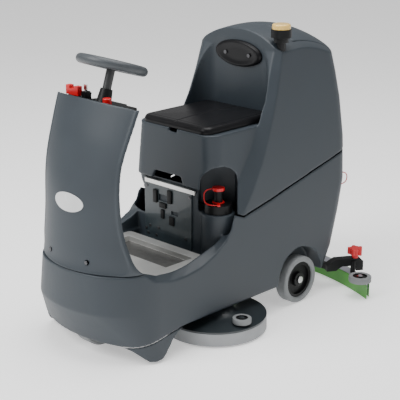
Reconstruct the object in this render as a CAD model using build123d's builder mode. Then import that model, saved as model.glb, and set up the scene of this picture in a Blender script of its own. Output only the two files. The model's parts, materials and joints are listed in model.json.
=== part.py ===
from build123d import *
from math import atan2, cos, degrees, radians, sin, sqrt, tan
import os

os.makedirs("parts", exist_ok=True)

# Ride-on floor scrubber-dryer, millimetres.
# Origin on the floor below the middle of the machine's box. The front faces -Y,
# the rider's left-hand side is +X, and +Z is up.

# ---------------------------------------------------------------- driving sizes
AXLE_Y = 348            # rear axle line
WHEEL_R = 110           # rear wheels
WHEEL_W = 60
WHEEL_X = 299           # middle of a rear tyre
RIM_R = 84              # inside of the rear tyres
ARCH_R = 155
AXLE_R = 10

DRIVE_Y = -585          # front drive wheel, under the bumper
DRIVE_R = 112
DRIVE_W = 76

BASE_HALF = 342         # half width of the body at floor level
LEAN = 0.084            # the sides lean in by this much per mm of height
WALL = 8                # moulded plastic wall
REAR_CORNER = 90

BUMPER_Z = 76           # lowest edge of the bumper
BULGE_Z = 218           # widest line of the bumper
SEAM_Z = 385            # joint between bumper and front cowl
FLOOR_Z = 335           # top of the platform moulding, under the foot tray
FOOT_FRONT_Y = -640     # front wall of the footwell
FOOT_REAR_Y = -112      # rear wall of the footwell
TROUGH_Y = -178         # trough in front of that wall
TROUGH_Z = 302
FOOT_HALF = 262
SILL_Z = 120            # lower edge of the body's sides
BAY_FLOOR_Z = 170       # floor of the battery bay
BAY_FRONT_Y = -40

BLOCK_FRONT = 158       # front face of the seat block, at its lowest
BLOCK_HALF = 262
BLOCK_BOTTOM_Z = 613
SEAT_Z = 857            # deck under the seat pad
ROOF_R = 388            # curve of the roof, seen from the front
RECESS_HALF = 230       # half width of the recess between the wings
RECESS_Y = 300          # its rear wall at seat height
LID_GAP = 1.5

FILLER_X = 195
FILLER_Y = -62
FILLER_Z = 505          # top of the filler bulge
RING_R = 60

STEER_TILT = 18.3       # the steering column leans back by this much, degrees
STEER_Y = -481          # middle of the steering wheel
STEER_Z = 1179
STEER_R = 128
GRIP_R = 20
DASH_Z = 1030

DECK_X = 240            # brush centres
DECK_Y = -127.5
DECK_R = 227
BRUSH_R = 212
DECK_RIM_Z = 66         # top of the skirt
PIVOT_Y = 150           # deck arm pivots on the frame
ARM_REACH = 150
ARM_X = 52
UPPER_ARM_Z = 112
LOWER_ARM_Z = 87
ARM_HALF = 10
ARM_PIN_R = 5

PIN_Y = 600             # swing pin of the squeegee
BLADE_R = 1250          # front blade's arc
BLADE_Y = 706           # front blade at the middle
REAR_BLADE_R = 950
REAR_BLADE_Y = 775
TIP_X = 529
BLADE_T = 4
ROLLER_R = 53
ROLLER_X = 483
ROLLER_Y = 594
KNOB_X = 380
KNOB_Y = 689


def half(z):
    """Half width of the body at height z."""
    return BASE_HALF - LEAN * z


def done(piece, name):
    """Label a finished piece and write it."""
    piece.part.label = name
    export_step(piece.part, "parts/" + name + ".step")


def side_view(points, x, amount, mode=Mode.ADD, round_r=0):
    """Extrude a (y, z) outline along X from x over amount, in the current part."""
    with BuildSketch(Plane.YZ.offset(x)) as outline:
        with BuildLine():
            Polyline(*points, close=True)
        make_face()
        if round_r:
            fillet(outline.vertices(), round_r)
    extrude(outline.sketch, amount=amount, mode=mode)


def box(low, high, mode=Mode.ADD):
    """A block between two corners, in the current part."""
    size = [b - a for a, b in zip(low, high)]
    middle = [(a + b) / 2 for a, b in zip(low, high)]
    with Locations(tuple(middle)):
        Box(*size, mode=mode)


def rod(start, axis, r, length, mode=Mode.ADD):
    """A cylinder from start along an axis, in the current part."""
    with BuildSketch(Plane(origin=start, z_dir=axis)) as end:
        Circle(r)
    extrude(end.sketch, amount=length, mode=mode)


# ---------------------------------------------------------------- body outlines
def hull_face(z, front, arc_r, corner_r, rear, inset):
    """Plan of the body at height z: arched front, straight sides, rounded rear."""
    w = half(z) - inset
    f = front - inset
    r = rear - inset
    big = arc_r - inset
    small = corner_r - inset
    back = REAR_CORNER - inset
    cx = w - small
    rise = sqrt((big - small) ** 2 - cx**2)
    cy = big - f - rise
    ux = cx / (big - small)
    uy = -rise / (big - small)
    tangent = (big * ux, big - f + big * uy)
    turn = atan2(uy, ux) / 2
    knee = (cx + small * cos(turn), cy + small * sin(turn))
    s = back * (1 - sqrt(0.5))
    with BuildSketch(Plane.XY.offset(z)) as face:
        with BuildLine():
            Line((w, r - back), (w, cy))
            ThreePointArc((w, cy), knee, tangent)
            ThreePointArc(tangent, (0, -f), (-tangent[0], tangent[1]))
            ThreePointArc((-tangent[0], tangent[1]), (-knee[0], knee[1]), (-w, cy))
            Line((-w, cy), (-w, r - back))
            ThreePointArc((-w, r - back), (-w + s, r - s), (-w + back, r))
            Line((-w + back, r), (w - back, r))
            ThreePointArc((w - back, r), (w - s, r - s), (w, r - back))
        make_face()
    return face.sketch


# height, front, front arc radius, corner radius, rear
HULL = [
    (BUMPER_Z, 714, 600, 110, 525),
    (BULGE_Z, 777, 500, 245, 624),
    (380, 764, 500, 240, 690),
    (515, 752, 500, 230, 735),
    (700, 740, 500, 220, 745),
]


def hull_solid(inset):
    """The whole body below 700 mm as one solid, its walls moved in by inset."""
    with BuildPart() as solid:
        for low, high in zip(HULL, HULL[1:]):
            loft([hull_face(*level, inset) for level in (low, high)], ruled=True)
    return solid.part


def side_plane(side, depth):
    """Plane parallel to a leaning side, depth inside it. Its x runs to the rear."""
    tilt = atan2(LEAN, 1)
    out = Vector(side * cos(tilt), 0, sin(tilt))
    return Plane(origin=Vector(side * BASE_HALF, 0, 0) - out * depth, x_dir=(0, 1, 0), z_dir=out)


def rim_cut(inner, outer, depth, side):
    """Cut the rim between an inner (y, z) line, depth inside the side, and an outer one on it."""
    faces = []
    for line, deep in ((inner, depth), (outer, -3)):
        with BuildSketch(side_plane(side, deep)) as opening:
            with BuildLine():
                Polyline(*[(y, side * z) for y, z in line], close=True)
            make_face()
        faces.append(opening.sketch)
    loft(faces, ruled=True, mode=Mode.SUBTRACT)
    extrude(faces[0], amount=-60, mode=Mode.SUBTRACT)


# ---------------------------------------------------------------- lower body
# step-through opening, y and z: inner edge of its sloped rim, and outer edge on the side
STEP = [(-590, 392), (-505, 357), (-411, 347), (-331, 355), (-255, 375), (-158, 402), (-100, 432),
        (-64, 462), (-20, 525), (60, 720), (-700, 720), (-660, 480)]
STEP_OUT = [(-636, 408), (-560, 352), (-470, 329), (-390, 324), (-300, 335), (-209, 370),
            (-142, 410), (-100, 455), (-74, 520), (-60, 720), (-740, 720), (-700, 480)]
RIM_DEPTH = 40
# underside of the upper moulding: y, z
TANK_SEAM = [(-112, 613), (-96, 560), (-70, 520), (-10, 496), (161, 531), (760, 671)]
SEAM_GAP = 5
TANK_ROOM = [(-112, 900)] + [(y, z - SEAM_GAP) for y, z in TANK_SEAM] + [(760, 900)]

hull_outside = hull_solid(0)
hull_inside = hull_solid(WALL)

with BuildPart() as under_room:
    # hollow below the platform and the front of the seat, open downwards
    box((-400, -900, 0), (400, -52, FLOOR_Z - 45))
    box((-FOOT_HALF + 14, -900, 0), (FOOT_HALF - 14, TROUGH_Y - 12, FLOOR_Z - WALL))
    add(hull_inside, mode=Mode.INTERSECT)
with BuildPart() as bay:
    # battery bay: its upper part is as wide as the body, its lower part clears the wheels
    side_view([(FOOT_REAR_Y + WALL, FLOOR_Z), (760, FLOOR_Z), (760, 900), (FOOT_REAR_Y + WALL, 900)],
              -400, 800)
    side_view([(BAY_FRONT_Y, BAY_FLOOR_Z), (510, BAY_FLOOR_Z), (560, FLOOR_Z + 5),
               (BAY_FRONT_Y, FLOOR_Z + 5)], -236, 472)
    for side in (1, -1):
        low_x, high_x = sorted((side * 246, side * 400))
        box((low_x, BAY_FRONT_Y, BAY_FLOOR_Z + 8), (high_x, 168, FLOOR_Z + 5))
    add(hull_inside, mode=Mode.INTERSECT)

with BuildPart() as lower_body:
    add(hull_outside)
    # bumper stops at the cowl joint
    side_view([(-900, SEAM_Z - 1), (-560, SEAM_Z - 1), (-560, 900), (-900, 900)],
              -400, 800, Mode.SUBTRACT)
    # the step-through line, its sloped rims, and the footwell between them
    for side in (1, -1):
        rim_cut(STEP, STEP_OUT, RIM_DEPTH, side)
    box((-FOOT_HALF, FOOT_FRONT_Y, FLOOR_Z), (FOOT_HALF, FOOT_REAR_Y, 900), Mode.SUBTRACT)
    # trough between the foot tray and the rear wall
    box((-FOOT_HALF + 6, TROUGH_Y, TROUGH_Z), (FOOT_HALF - 6, FOOT_REAR_Y, 340), Mode.SUBTRACT)
    # joint with the upper moulding
    side_view(TANK_ROOM, -400, 800, Mode.SUBTRACT)
    add(under_room.part, mode=Mode.SUBTRACT)
    add(bay.part, mode=Mode.SUBTRACT)
    # filler bulge, standing on the platform in front of the rear wall
    with Locations((FILLER_X, FILLER_Y, TROUGH_Z - 4)):
        Cylinder(74, FILLER_Z - TROUGH_Z + 4, align=(Align.CENTER, Align.CENTER, Align.MIN))
    with Locations((FILLER_X, FILLER_Y, FILLER_Z)):
        Cylinder(88, 300, align=(Align.CENTER, Align.CENTER, Align.MIN), mode=Mode.SUBTRACT)
        Cylinder(40, 320, mode=Mode.SUBTRACT)
    # underside: sills rise from the bumper, open below between the wheels
    side_view([(-800, 40), (-662, BUMPER_Z), (-560, 98), (-470, 113), (-392, SILL_Z), (800, SILL_Z),
               (800, 0), (-800, 0)], -400, 800, Mode.SUBTRACT)
    box((-246, -60, 0), (246, 600, BAY_FLOOR_Z - 18), Mode.SUBTRACT)
    box((-322, -60, 100), (322, 34, BAY_FLOOR_Z - 2), Mode.SUBTRACT)
    # slot for the squeegee arm through the rear wall
    box((-40, 524, 100), (40, 660, BAY_FLOOR_Z), Mode.SUBTRACT)
    # opening for the sunken part of the foot tray
    box((-208, -391, 300), (208, -222, 340), Mode.SUBTRACT)
    for side in (1, -1):
        rod((side * 244, AXLE_Y, WHEEL_R), (side, 0, 0), ARCH_R, 150, Mode.SUBTRACT)
    # drain port through the rear wall
    rod((214, 600, 556), (0, 1, 0), 24, 160, Mode.SUBTRACT)
    # hole for the deck motors' cables and the drive column
    rod((0, DRIVE_Y, FLOOR_Z - 40), (0, 0, 1), 30, 80, Mode.SUBTRACT)
done(lower_body, "lower_body")

# rounded splash valances below the sills, one each side
with BuildPart() as valance_skin:
    loft([hull_face(0, 700, 600, 110, 480, 3), hull_face(130, 734, 560, 150, 520, 3)], ruled=True)
    loft([hull_face(0, 700, 600, 110, 480, 9), hull_face(130, 734, 560, 150, 520, 9)],
         ruled=True, mode=Mode.SUBTRACT)
with BuildPart() as side_valances:
    for side in (1, -1):
        with BuildSketch(Plane.YZ.offset(-400 if side < 0 else 0)):
            with BuildLine():
                Polyline((-640, 58), (-604, 22), (-590, 10), (-560, 8), (-530, 14),
                         (-508, 34), (-470, 78), (-440, 100), (-400, SILL_Z - 3),
                         (-470, 110), (-560, 95), (-662, BUMPER_Z - 3), close=True)
            make_face()
        extrude(amount=400)
    add(valance_skin.part, mode=Mode.INTERSECT)
done(side_valances, "side_valances")


# ---------------------------------------------------------------- front cowl
# height, front, half width, where the side edges stop
COWL = [
    (450, 754, 274, 640),
    (520, 748, 252, 652),
    (600, 742, 237, 658),
    (730, 724, 230, 660),
    (820, 702, 230, 648),
    (909, 680, 236, 618),
    (980, 655, 243, 590),
    (1045, 632, 248, 564),
    (1070, 623, 250, 553),
]
COWL_TOP = 1063         # highest point of the cowl's crowned top edge
COWL_EDGE = 6           # the side returns end this far behind the side edge
COWL_INNER = 66


def cowl_face(z, front, w, edge, inset, back):
    """Plan of the cowl: one arc across the front, rounded into short side returns."""
    f = front - inset
    w = w - inset
    r = (w**2 + (f - edge) ** 2) / (2 * (f - edge))
    near = w - 14
    y_near = r - f - sqrt(r**2 - near**2)
    with BuildSketch(Plane.XY.offset(z)) as face:
        with BuildLine():
            ThreePointArc((-near, y_near), (0, -f), (near, y_near))
            ThreePointArc((near, y_near), (w - 3, y_near + 4), (w, y_near + 12))
            Line((w, y_near + 12), (w, back - edge))
            Line((w, back - edge), (-w, back - edge))
            Line((-w, back - edge), (-w, y_near + 12))
            ThreePointArc((-w, y_near + 12), (-w + 3, y_near + 4), (-near, y_near))
        make_face()
    return face.sketch


def cowl_foot(inset, back):
    """The cowl's lowest section follows the bumper it stands on."""
    front = 764 - inset
    w = 292 - inset
    with BuildSketch(Plane.XY.offset(SEAM_Z + 1)) as face:
        with BuildLine():
            ThreePointArc((-w + 60, -front + 78), (0, -front), (w - 60, -front + 78))
            ThreePointArc((w - 60, -front + 78), (w - 20, -front + 120), (w, -front + 172))
            Line((w, -front + 172), (w, back - 586))
            Line((w, back - 586), (-w, back - 586))
            Line((-w, back - 586), (-w, -front + 172))
            ThreePointArc((-w, -front + 172), (-w + 20, -front + 120), (-w + 60, -front + 78))
        make_face()
    return face.sketch


COWL_SCREW_X = 114
COWL_SCREW_Z = 430
with BuildPart() as cowl_outside:
    loft([cowl_foot(0, 0)] + [cowl_face(*level, 0, COWL_EDGE) for level in COWL])
with BuildPart() as front_cowl:
    add(cowl_outside.part)
    loft([cowl_foot(9, 40)] + [cowl_face(*level, 9, COWL_INNER) for level in COWL],
         mode=Mode.SUBTRACT)
    # crowned top edge
    with BuildSketch(Plane.XZ.offset(400)) as sky:
        with BuildLine():
            ThreePointArc((-260, 1043), (0, COWL_TOP), (260, 1043))
            Polyline((260, 1043), (260, 1100), (-260, 1100), (-260, 1043))
        make_face()
    extrude(sky.sketch, amount=400, mode=Mode.SUBTRACT)
    # two screw holes near the foot
    for side in (1, -1):
        rod((side * COWL_SCREW_X, -800, COWL_SCREW_Z), (0, 1, 0), 9, 160, Mode.SUBTRACT)
done(front_cowl, "front_cowl")

# plain oval badge, following the cowl's curve
with BuildPart() as badge:
    with BuildSketch(Plane.XZ.offset(700)):
        with Locations((4, 660)):
            Ellipse(86, 38)
    extrude(amount=80)
    loft([cowl_foot(-3, 0)] + [cowl_face(*level, -3, COWL_EDGE) for level in COWL],
         mode=Mode.INTERSECT)
    add(cowl_outside.part, mode=Mode.SUBTRACT)
done(badge, "badge")


# leg shield: the panel behind the cowl, with the tunnel for the steering column
# height, half width, side edge, tunnel depth
SHIELD = [
    (SEAM_Z + 4, 248, 592, 560),
    (600, 205, 645, 545),
    (800, 205, 640, 520),
    (1022, 212, 552, 478),
]


def shield_face(z, w, edge, depth, inset):
    """Plan of the leg shield: wings at the sides, a tunnel in the middle."""
    with BuildSketch(Plane.XY.offset(z)) as face:
        with BuildLine():
            Polyline((-w + inset, -edge - 34), (w - inset, -edge - 34), (w - inset, -edge - inset),
                     (118 - inset, -edge + 14 - inset), (82 - inset, -depth - inset),
                     (-82 + inset, -depth - inset), (-118 + inset, -edge + 14 - inset),
                     (-w + inset, -edge - inset), close=True)
        make_face()
    return face.sketch


with BuildPart() as leg_shield:
    for low, high in zip(SHIELD, SHIELD[1:]):
        loft([shield_face(*low, 0), shield_face(*high, 0)], ruled=True)
    for low, high in zip(SHIELD, SHIELD[1:]):
        loft([shield_face(*low, 6), shield_face(*high, 6)], ruled=True, mode=Mode.SUBTRACT)
    side_view([(-900, 300), (-622, 300), (-652, 600), (-644, 800), (-564, 1100), (-900, 1100)],
              -400, 800, Mode.SUBTRACT)
done(leg_shield, "leg_shield")

# ---------------------------------------------------------------- recovery tank
# height and rear face of the upper moulding
TANK = [(470, 722), (560, 742), (720, 746), (900, 730), (1020, 706), (1120, 680), (1290, 632)]
# front edge of the wings, y and z: inner edge of the rounded rim, and outer edge on the side
WING = [(-110, 480), (-79, 540), (19, 660), (96, 766), (146, 868), (193, 960), (231, 1074),
        (266, 1170), (276, 1500), (-500, 1500), (-500, 480)]
WING_OUT = [(-60, 440), (-13, 500), (52, 585), (118, 690), (166, 790), (212, 905), (252, 1020),
            (284, 1150), (296, 1500), (-480, 1500), (-480, 440)]
WING_DEPTH = 34
ROOF = [(150, 1236), (262, 1243), (405, 1251), (520, 1237), (640, 1196), (760, 1130)]
LID_LOW = (-205, 395)
LID_HIGH = (205, 655)
LID_T = 16              # depth of the lid's seat


def tank_face(z, rear, inset):
    """Plan of the tank at height z, flat at the front."""
    w = half(z) - inset
    with BuildSketch(Plane.XY.offset(z)) as face:
        with Locations((0, (rear - inset - 300) / 2)):
            Rectangle(2 * w, rear - inset + 300)
        corners = face.vertices().group_by(Axis.Y)[-1]
        fillet(corners, REAR_CORNER - inset)
    return face.sketch


def tank_solid(inset):
    with BuildPart() as solid:
        for low, high in zip(TANK, TANK[1:]):
            loft([tank_face(*low, inset), tank_face(*high, inset)], ruled=True)
    return solid.part


def roof_section(y, top):
    """Everything above the arched roof, on the plane at y."""
    with BuildSketch(Plane(origin=(0, y, 0), x_dir=(1, 0, 0), z_dir=(0, -1, 0))) as face:
        with BuildLine():
            drop = ROOF_R - sqrt(ROOF_R**2 - 330**2)
            ThreePointArc((-330, top - drop), (0, top), (330, top - drop))
            Polyline((330, top - drop), (330, 1500), (-330, 1500), (-330, top - drop))
        make_face()
    return face.sketch


def above_roof(drop):
    with BuildPart() as sky:
        loft([roof_section(y, z - drop) for y, z in ROOF])
    return sky.part


roof_air = above_roof(0)
tank_air = above_roof(LID_T - 1)
seat_air = above_roof(LID_T)

with BuildPart() as seat_recess:
    plans = []
    for z, back, wide in ((SEAT_Z, RECESS_Y, RECESS_HALF), (1300, 256, 206)):
        with BuildSketch(Plane.XY.offset(z)) as plan:
            with Locations((0, (back - 400) / 2)):
                Rectangle(2 * wide, back + 400)
            fillet(plan.vertices().group_by(Axis.Y)[-1], 90)
        plans.append(plan.sketch)
    loft(plans, ruled=True)

with BuildPart() as seat_block:
    block = []
    for z, wide, front in ((470, BLOCK_HALF, BLOCK_FRONT), (SEAT_Z, 234, 146)):
        with BuildSketch(Plane.XY.offset(z)) as plan:
            with Locations((0, (300 - front) / 2)):
                Rectangle(2 * wide, 300 + front)
            fillet(plan.vertices().group_by(Axis.Y)[0], 62)
        block.append(plan.sketch)
    loft(block, ruled=True)

NICHE_R = 80


def niche(r, back):
    """Arched tunnel round the filler, running out through the block's corner."""
    start = Vector(FILLER_X - 66 - back, FILLER_Y + 66 + back, 0)
    with BuildPart() as tunnel:
        with BuildSketch(Plane(origin=start, x_dir=(1, 1, 0), z_dir=(1, -1, 0))):
            with BuildLine():
                Polyline((-r, 640), (-r, 400), (r, 400), (r, 640))
                ThreePointArc((r, 640), (0, 640 + r), (-r, 640))
            make_face()
        extrude(amount=400)
    return tunnel.part


with BuildPart() as lid_seat:
    box((LID_LOW[0] - LID_GAP, LID_LOW[1] - LID_GAP, 1000),
        (LID_HIGH[0] + LID_GAP, LID_HIGH[1] + LID_GAP, 1400))
    add(seat_air, mode=Mode.INTERSECT)
with BuildPart() as tank_room:
    add(tank_solid(WALL))
    side_view([(318, 590), (318, 1400), (760, 1400), (760, 690), (318, 587)], -400, 800,
              Mode.INTERSECT)
    add(above_roof(LID_T + 12), mode=Mode.SUBTRACT)
with BuildPart() as seat_room:
    add(tank_solid(WALL))
    side_view([(60, 400), (60, 550), (176, 722), (222, 845), (308, 845), (308, 400)], -400, 800,
              Mode.INTERSECT)
    box((-224, -134, 400), (100, 300, 848))
    box((-224, 40, 400), (224, 300, 848))
    add(niche(NICHE_R + 8, 6), mode=Mode.SUBTRACT)

with BuildPart() as recovery_tank:
    add(tank_solid(0))
    add(roof_air, mode=Mode.SUBTRACT)
    # wings: cut along their sloping front edge, rounded off outwards
    side_view(WING, -262, 524, Mode.SUBTRACT)
    for side in (1, -1):
        rim_cut(WING, WING_OUT, WING_DEPTH, side)
    add(seat_recess.part, mode=Mode.SUBTRACT)
    add(seat_block.part)
    # underside, following the joint with the lower body
    side_view([(-600, 0), (-600, BLOCK_BOTTOM_Z)] + TANK_SEAM + [(760, 0)], -400, 800, Mode.SUBTRACT)
    # slot in the block's lower edge, over the support bar
    with BuildSketch(Plane.XZ.offset(80)):
        with BuildLine():
            Polyline((-134, 600), (-106, 652), (54, 652), (74, 600), close=True)
        make_face()
    extrude(amount=120, mode=Mode.SUBTRACT)
    # finger notch in the front edge, under the pad
    box((-24, -170, SEAT_Z - 16), (24, -112, SEAT_Z + 1), Mode.SUBTRACT)
    # arched niche round the filler
    add(niche(NICHE_R, 0), mode=Mode.SUBTRACT)
    # lid seat and the access hole under it
    add(lid_seat.part, mode=Mode.SUBTRACT)
    box((LID_LOW[0] + 22, LID_LOW[1] + 26, 1000), (LID_HIGH[0] - 22, LID_HIGH[1] - 24, 1400),
        Mode.SUBTRACT)
    # hollow water tank, and the hollow under the seat, open downwards
    add(tank_room.part, mode=Mode.SUBTRACT)
    add(seat_room.part, mode=Mode.SUBTRACT)
done(recovery_tank, "recovery_tank")

with BuildPart() as tank_lid:
    box((LID_LOW[0], LID_LOW[1], 1000), (LID_HIGH[0], LID_HIGH[1], 1400))
    add(roof_air, mode=Mode.SUBTRACT)
    add(tank_air, mode=Mode.INTERSECT)
done(tank_lid, "tank_lid")


# ---------------------------------------------------------------- seat and beacon
PAD_HINGE_Y = 284
with BuildPart() as seat_pad:
    box((-205, -142, SEAT_Z + 1), (205, PAD_HINGE_Y - 1, SEAT_Z + 36))
    fillet(seat_pad.edges().filter_by(Axis.Z).group_by(Axis.Y)[0], 50)
    fillet(seat_pad.edges().filter_by(Axis.Z).group_by(Axis.Y)[-1], 30)
    fillet(seat_pad.faces().sort_by(Axis.Z)[-1].edges(), 15)
done(seat_pad, "seat_pad")

BACK_Z = 1129
BACK_TILT = degrees(atan2(44, 443))
back_plane = Plane(origin=(0, 272.6, BACK_Z), x_dir=(1, 0, 0), z_dir=(0, -cos(radians(BACK_TILT)),
                                                               -sin(radians(BACK_TILT))))
with BuildPart() as backrest_pad:
    with BuildSketch(back_plane) as low_oval:
        Ellipse(96, 42)
    extrude(low_oval.sketch, amount=4)
    with BuildSketch(back_plane.offset(4)) as oval:
        Ellipse(139, 60)
    extrude(oval.sketch, amount=12)
done(backrest_pad, "backrest_pad")
with BuildPart() as backrest_screws:
    with BuildSketch(back_plane.offset(16)) as heads:
        with Locations((-70, 0), (70, 0)):
            Circle(9)
    extrude(heads.sketch, amount=2)
done(backrest_screws, "backrest_screws")

BEACON_X = 222
BEACON_Y = 300
with BuildPart() as beacon_base:
    rod((BEACON_X, BEACON_Y, 1222), (0, 0, 1), 45, 36)
    rod((BEACON_X, BEACON_Y, 1200), (0, 0, 1), 32, 22)
    rod((BEACON_X, BEACON_Y, 1140), (0, 0, 1), 20, 70)
    add(roof_air, mode=Mode.INTERSECT)
done(beacon_base, "beacon_base")
with BuildPart() as beacon_lens:
    rod((BEACON_X, BEACON_Y, 1258), (0, 0, 1), 41, 24)
    fillet(beacon_lens.faces().sort_by(Axis.Z)[-1].edges(), 9)
    rod((BEACON_X, BEACON_Y, 1258), (0, 0, 1), 31, 20, Mode.SUBTRACT)
done(beacon_lens, "beacon_lens")

with BuildPart() as vacuum_motor:
    rod((-110, 520, 652), (0, 0, 1), 62, 130)
done(vacuum_motor, "vacuum_motor")

# ---------------------------------------------------------------- filler
NECK_R = 19
with BuildPart() as filler_neck:
    rod((FILLER_X, FILLER_Y, FILLER_Z), (0, 0, 1), RING_R, 40)
    rod((FILLER_X, FILLER_Y, 440), (0, 0, 1), 38, 70)
    rod((FILLER_X, FILLER_Y, 540), (0, 0, 1), NECK_R, 66)
    rod((FILLER_X, FILLER_Y, 430), (0, 0, 1), 14, 200, Mode.SUBTRACT)
done(filler_neck, "filler_neck")
CAP_Z = 602
with BuildPart() as filler_cap:
    rod((FILLER_X, FILLER_Y, CAP_Z), (0, 0, 1), 27, 14)
    rod((FILLER_X, FILLER_Y, CAP_Z - 1), (0, 0, 1), NECK_R + 0.35, 6, Mode.SUBTRACT)
    # loose collar round the neck, with the lug that holds the strap
    rod((FILLER_X, FILLER_Y, 546), (0, 0, 1), 27, 6)
    with Locations((FILLER_X + 28, FILLER_Y - 28, 549)):
        Box(44, 14, 6, rotation=(0, 0, -45))
    rod((FILLER_X, FILLER_Y, 545), (0, 0, 1), NECK_R + 0.35, 8, Mode.SUBTRACT)
done(filler_cap, "filler_cap")


def bent(points, r):
    """Round cord through the points, its corners as wide as the runs allow."""
    radii = []
    for a, b, c in zip(points, points[1:], points[2:]):
        one = Vector(*b) - Vector(*a)
        two = Vector(*c) - Vector(*b)
        turn = radians(one.get_angle(two))
        radii.append(round(0.45 * min(one.length, two.length) / tan(turn / 2), 1))
    print("bend radii", radii)
    with BuildLine() as path:
        FilletPolyline(*points, radius=min(radii))
    with BuildSketch(Plane(origin=path.line @ 0, z_dir=path.line % 0)) as section:
        Circle(r)
    sweep(section.sketch, path=path.line)


STRAP_R = 2.5
FILLER_STRAP = [(177, -80, 608), (152, -105, 608), (163, -120, 556), (205, -128, 549),
                (229, -100, 549)]
with BuildPart() as filler_strap:
    bent(FILLER_STRAP, STRAP_R)
done(filler_strap, "filler_strap")
REAR_STRAP = [(250, 720, 532), (268, 751, 532), (271, 741, 476), (255, 707, 476)]
with BuildPart() as rear_strap:
    bent(REAR_STRAP, STRAP_R)
done(rear_strap, "rear_strap")
with BuildPart() as drain_cap:
    rod((214, 700, 556), (0, 1, 0), 30, 50)
    add(hull_solid(-14), mode=Mode.INTERSECT)
    add(hull_outside, mode=Mode.SUBTRACT)
    rod((214, 712, 556), (0, 1, 0), 23.6, 24)
done(drain_cap, "drain_cap")

# ---------------------------------------------------------------- dash and controls
with BuildPart() as dash_panel:
    loft([cowl_foot(9.6, 20)] + [cowl_face(*level, 9.6, COWL_EDGE + 4) for level in COWL])
    box((-300, -800, DASH_Z - 8), (300, -400, DASH_Z), Mode.INTERSECT)
    with BuildSketch(Plane.XY.offset(DASH_Z - 8)):
        with BuildLine():
            Polyline((-118, -580), (118, -580), (118, -532), (84, -479), (-84, -479),
                     (-118, -532), close=True)
        make_face()
    extrude(amount=8)
column_axis = Vector(0, sin(radians(STEER_TILT)), cos(radians(STEER_TILT)))
wheel_middle = Vector(0, STEER_Y, STEER_Z)
SHAFT_R = 18
with BuildPart() as boot:
    foot = wheel_middle - column_axis * 160
    with BuildSketch(Plane(origin=foot, z_dir=column_axis)) as wide:
        Circle(32)
    with BuildSketch(Plane(origin=foot + column_axis * 62, z_dir=column_axis)) as narrow:
        Circle(25)
    loft([wide.sketch, narrow.sketch])
    box((-100, -700, 900), (100, -400, DASH_Z), Mode.SUBTRACT)
with BuildPart() as dash:
    add(dash_panel.part)
    add(boot.part)
    rod(wheel_middle - column_axis * 260, column_axis, SHAFT_R + 0.35, 300, Mode.SUBTRACT)
done(dash, "dash_panel")

with BuildPart() as steering_shaft:
    rod(wheel_middle - column_axis * 300, column_axis, SHAFT_R, 288)
done(steering_shaft, "steering_shaft")
HUB_R = 34
wheel_plane = Plane(origin=wheel_middle, x_dir=(1, 0, 0), z_dir=column_axis)
with BuildPart() as steering_wheel:
    with BuildSketch(Plane(origin=wheel_middle, x_dir=column_axis, z_dir=(1, 0, 0))) as grip:
        with Locations((0, STEER_R)):
            Circle(GRIP_R)
    revolve(grip.sketch, axis=Axis(wheel_middle, column_axis))
    with BuildSketch(wheel_plane.offset(-12)) as hub:
        Circle(HUB_R)
    extrude(hub.sketch, amount=18)
    with BuildSketch(wheel_plane.offset(-8)) as spokes:
        with PolarLocations(0, 3, start_angle=-90):
            with Locations((STEER_R / 2, 0)):
                Rectangle(STEER_R - 6, 30)
    extrude(spokes.sketch, amount=10)
done(steering_wheel, "steering_wheel")

# positions of the controls on the dash, x and y
ISO_X, ISO_Y = -162, -549
KEY_X, KEY_Y = -104, -534
TOGGLE_X, TOGGLE_Y = -58, -548
SPEED_X, SPEED_Y = 64, -566
SCREEN_X, SCREEN_Y = 146, -556
with BuildPart() as switch_housings:
    box((KEY_X - 14, KEY_Y - 14, DASH_Z), (KEY_X + 14, KEY_Y + 14, DASH_Z + 34))
    box((TOGGLE_X - 15, TOGGLE_Y - 12, DASH_Z), (TOGGLE_X + 15, TOGGLE_Y + 12, DASH_Z + 10))
    box((SCREEN_X - 56, SCREEN_Y - 26, DASH_Z), (SCREEN_X + 56, SCREEN_Y + 24, DASH_Z + 14))
    rod((ISO_X, ISO_Y, DASH_Z), (0, 0, 1), 30, 12)
    rod((SPEED_X, SPEED_Y, DASH_Z), (0, 0, 1), 20, 6)
    rod((KEY_X, KEY_Y, DASH_Z + 20), (0, 0, 1), 6.06, 20, Mode.SUBTRACT)
    rod((ISO_X, ISO_Y, DASH_Z + 2), (0, 0, 1), 10.06, 20, Mode.SUBTRACT)
    rod((SPEED_X, SPEED_Y, DASH_Z + 1), (0, 0, 1), 5.06, 20, Mode.SUBTRACT)
    box((TOGGLE_X - 5, TOGGLE_Y - 9, DASH_Z + 2), (TOGGLE_X + 5, TOGGLE_Y + 9, DASH_Z + 12),
        Mode.SUBTRACT)
done(switch_housings, "switch_housings")
with BuildPart() as key:
    rod((KEY_X, KEY_Y, DASH_Z + 21), (0, 0, 1), 6, 18)
    box((KEY_X - 11, KEY_Y - 1.5, DASH_Z + 38), (KEY_X + 11, KEY_Y + 1.5, DASH_Z + 62))
done(key, "key")
with BuildPart() as isolator_handle:
    rod((ISO_X, ISO_Y, DASH_Z + 3), (0, 0, 1), 10, 12)
    box((ISO_X - 38, ISO_Y - 12, DASH_Z + 14), (ISO_X + 38, ISO_Y + 12, DASH_Z + 40))
    box((ISO_X - 38, ISO_Y - 12, DASH_Z + 40), (ISO_X - 14, ISO_Y + 12, DASH_Z + 52))
    box((ISO_X + 14, ISO_Y - 12, DASH_Z + 40), (ISO_X + 38, ISO_Y + 12, DASH_Z + 52))
done(isolator_handle, "isolator_handle")
with BuildPart() as toggle_lever:
    rod((TOGGLE_X, TOGGLE_Y, DASH_Z + 4), (0, 0, 1), 3, 30)
    with Locations((TOGGLE_X, TOGGLE_Y, DASH_Z + 34)):
        Sphere(5)
done(toggle_lever, "toggle_lever")
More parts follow.
